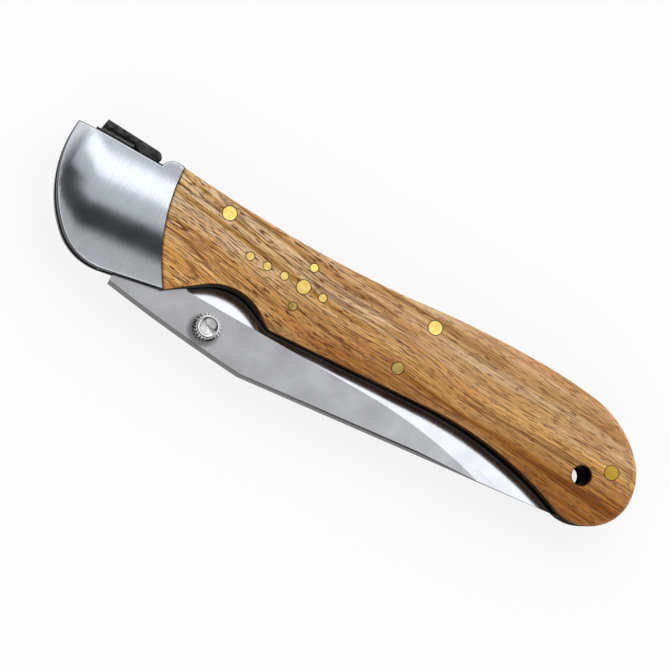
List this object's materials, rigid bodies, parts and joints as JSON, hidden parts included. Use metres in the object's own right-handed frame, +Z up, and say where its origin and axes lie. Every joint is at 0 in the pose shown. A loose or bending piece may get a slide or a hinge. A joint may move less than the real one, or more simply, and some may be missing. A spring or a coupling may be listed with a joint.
{
  "type": "folding pocket knife",
  "caption": "Front-release lockback pocket knife with wooden scales, steel bolsters, brass pins, a thumb stud and a lanyard hole, shown closed.",
  "frame": {"origin": "centre of the closed knife's bounding box in plan, at the flat crest of the rear scale on which it lies", "axes": "+X from the bolster towards the butt, +Y towards the back of the handle, +Z up through its thickness towards the front scale"},
  "size_m": [0.1211, 0.0296, 0.0138],
  "materials": {
    "blade_steel": "satin ground",
    "bolster_steel": "satin brushed",
    "liner_steel": "rolled",
    "stud_steel": "turned and knurled",
    "pin_steel": "ground",
    "spring_steel": "blued",
    "black_steel": "black oxide",
    "bronze": "plain",
    "brass": "polished flush",
    "hardwood": "oiled, open grained"
  },
  "bodies": {
    "handle": {"pivot_pin": "pin_steel", "washer_front": "bronze", "washer_rear": "bronze", "liner_front": "liner_steel", "liner_rear": "liner_steel", "bolster_front": "bolster_steel", "bolster_rear": "bolster_steel", "bolster_pins": "pin_steel", "scale_front": "hardwood", "scale_rear": "hardwood", "lock_spring": "spring_steel", "back_spacer": "liner_steel", "stop_pin": "pin_steel", "rivet_front": "brass", "rivet_middle": "brass", "rivet_butt": "brass", "belly_rivets": "brass", "cross_centre_pin": "brass", "cross_small_pins": "brass"},
    "blade": {"blade": "blade_steel", "thumb_stud": "stud_steel", "thumb_stud_rear": "stud_steel"},
    "lock_bar": {"lock_bar": "black_steel"}
  },
  "joints": [
    {"name": "blade_pivot", "type": "hinge", "parent": "handle", "child": "blade", "pos_m": [-0.04925, 0.00042, 0.0069], "axis": [0, 0, -1], "range_deg": [0, 180]},
    {"name": "lock_rock", "type": "hinge", "parent": "handle", "child": "lock_bar", "pos_m": [-0.02875, 0.00967, 0.0069], "axis": [0, 0, -1], "range_deg": [0, 4], "stiffness_Nm_per_rad": 0.6, "springref_deg": -5.73, "deforming": ["lock_spring"]}
  ]
}
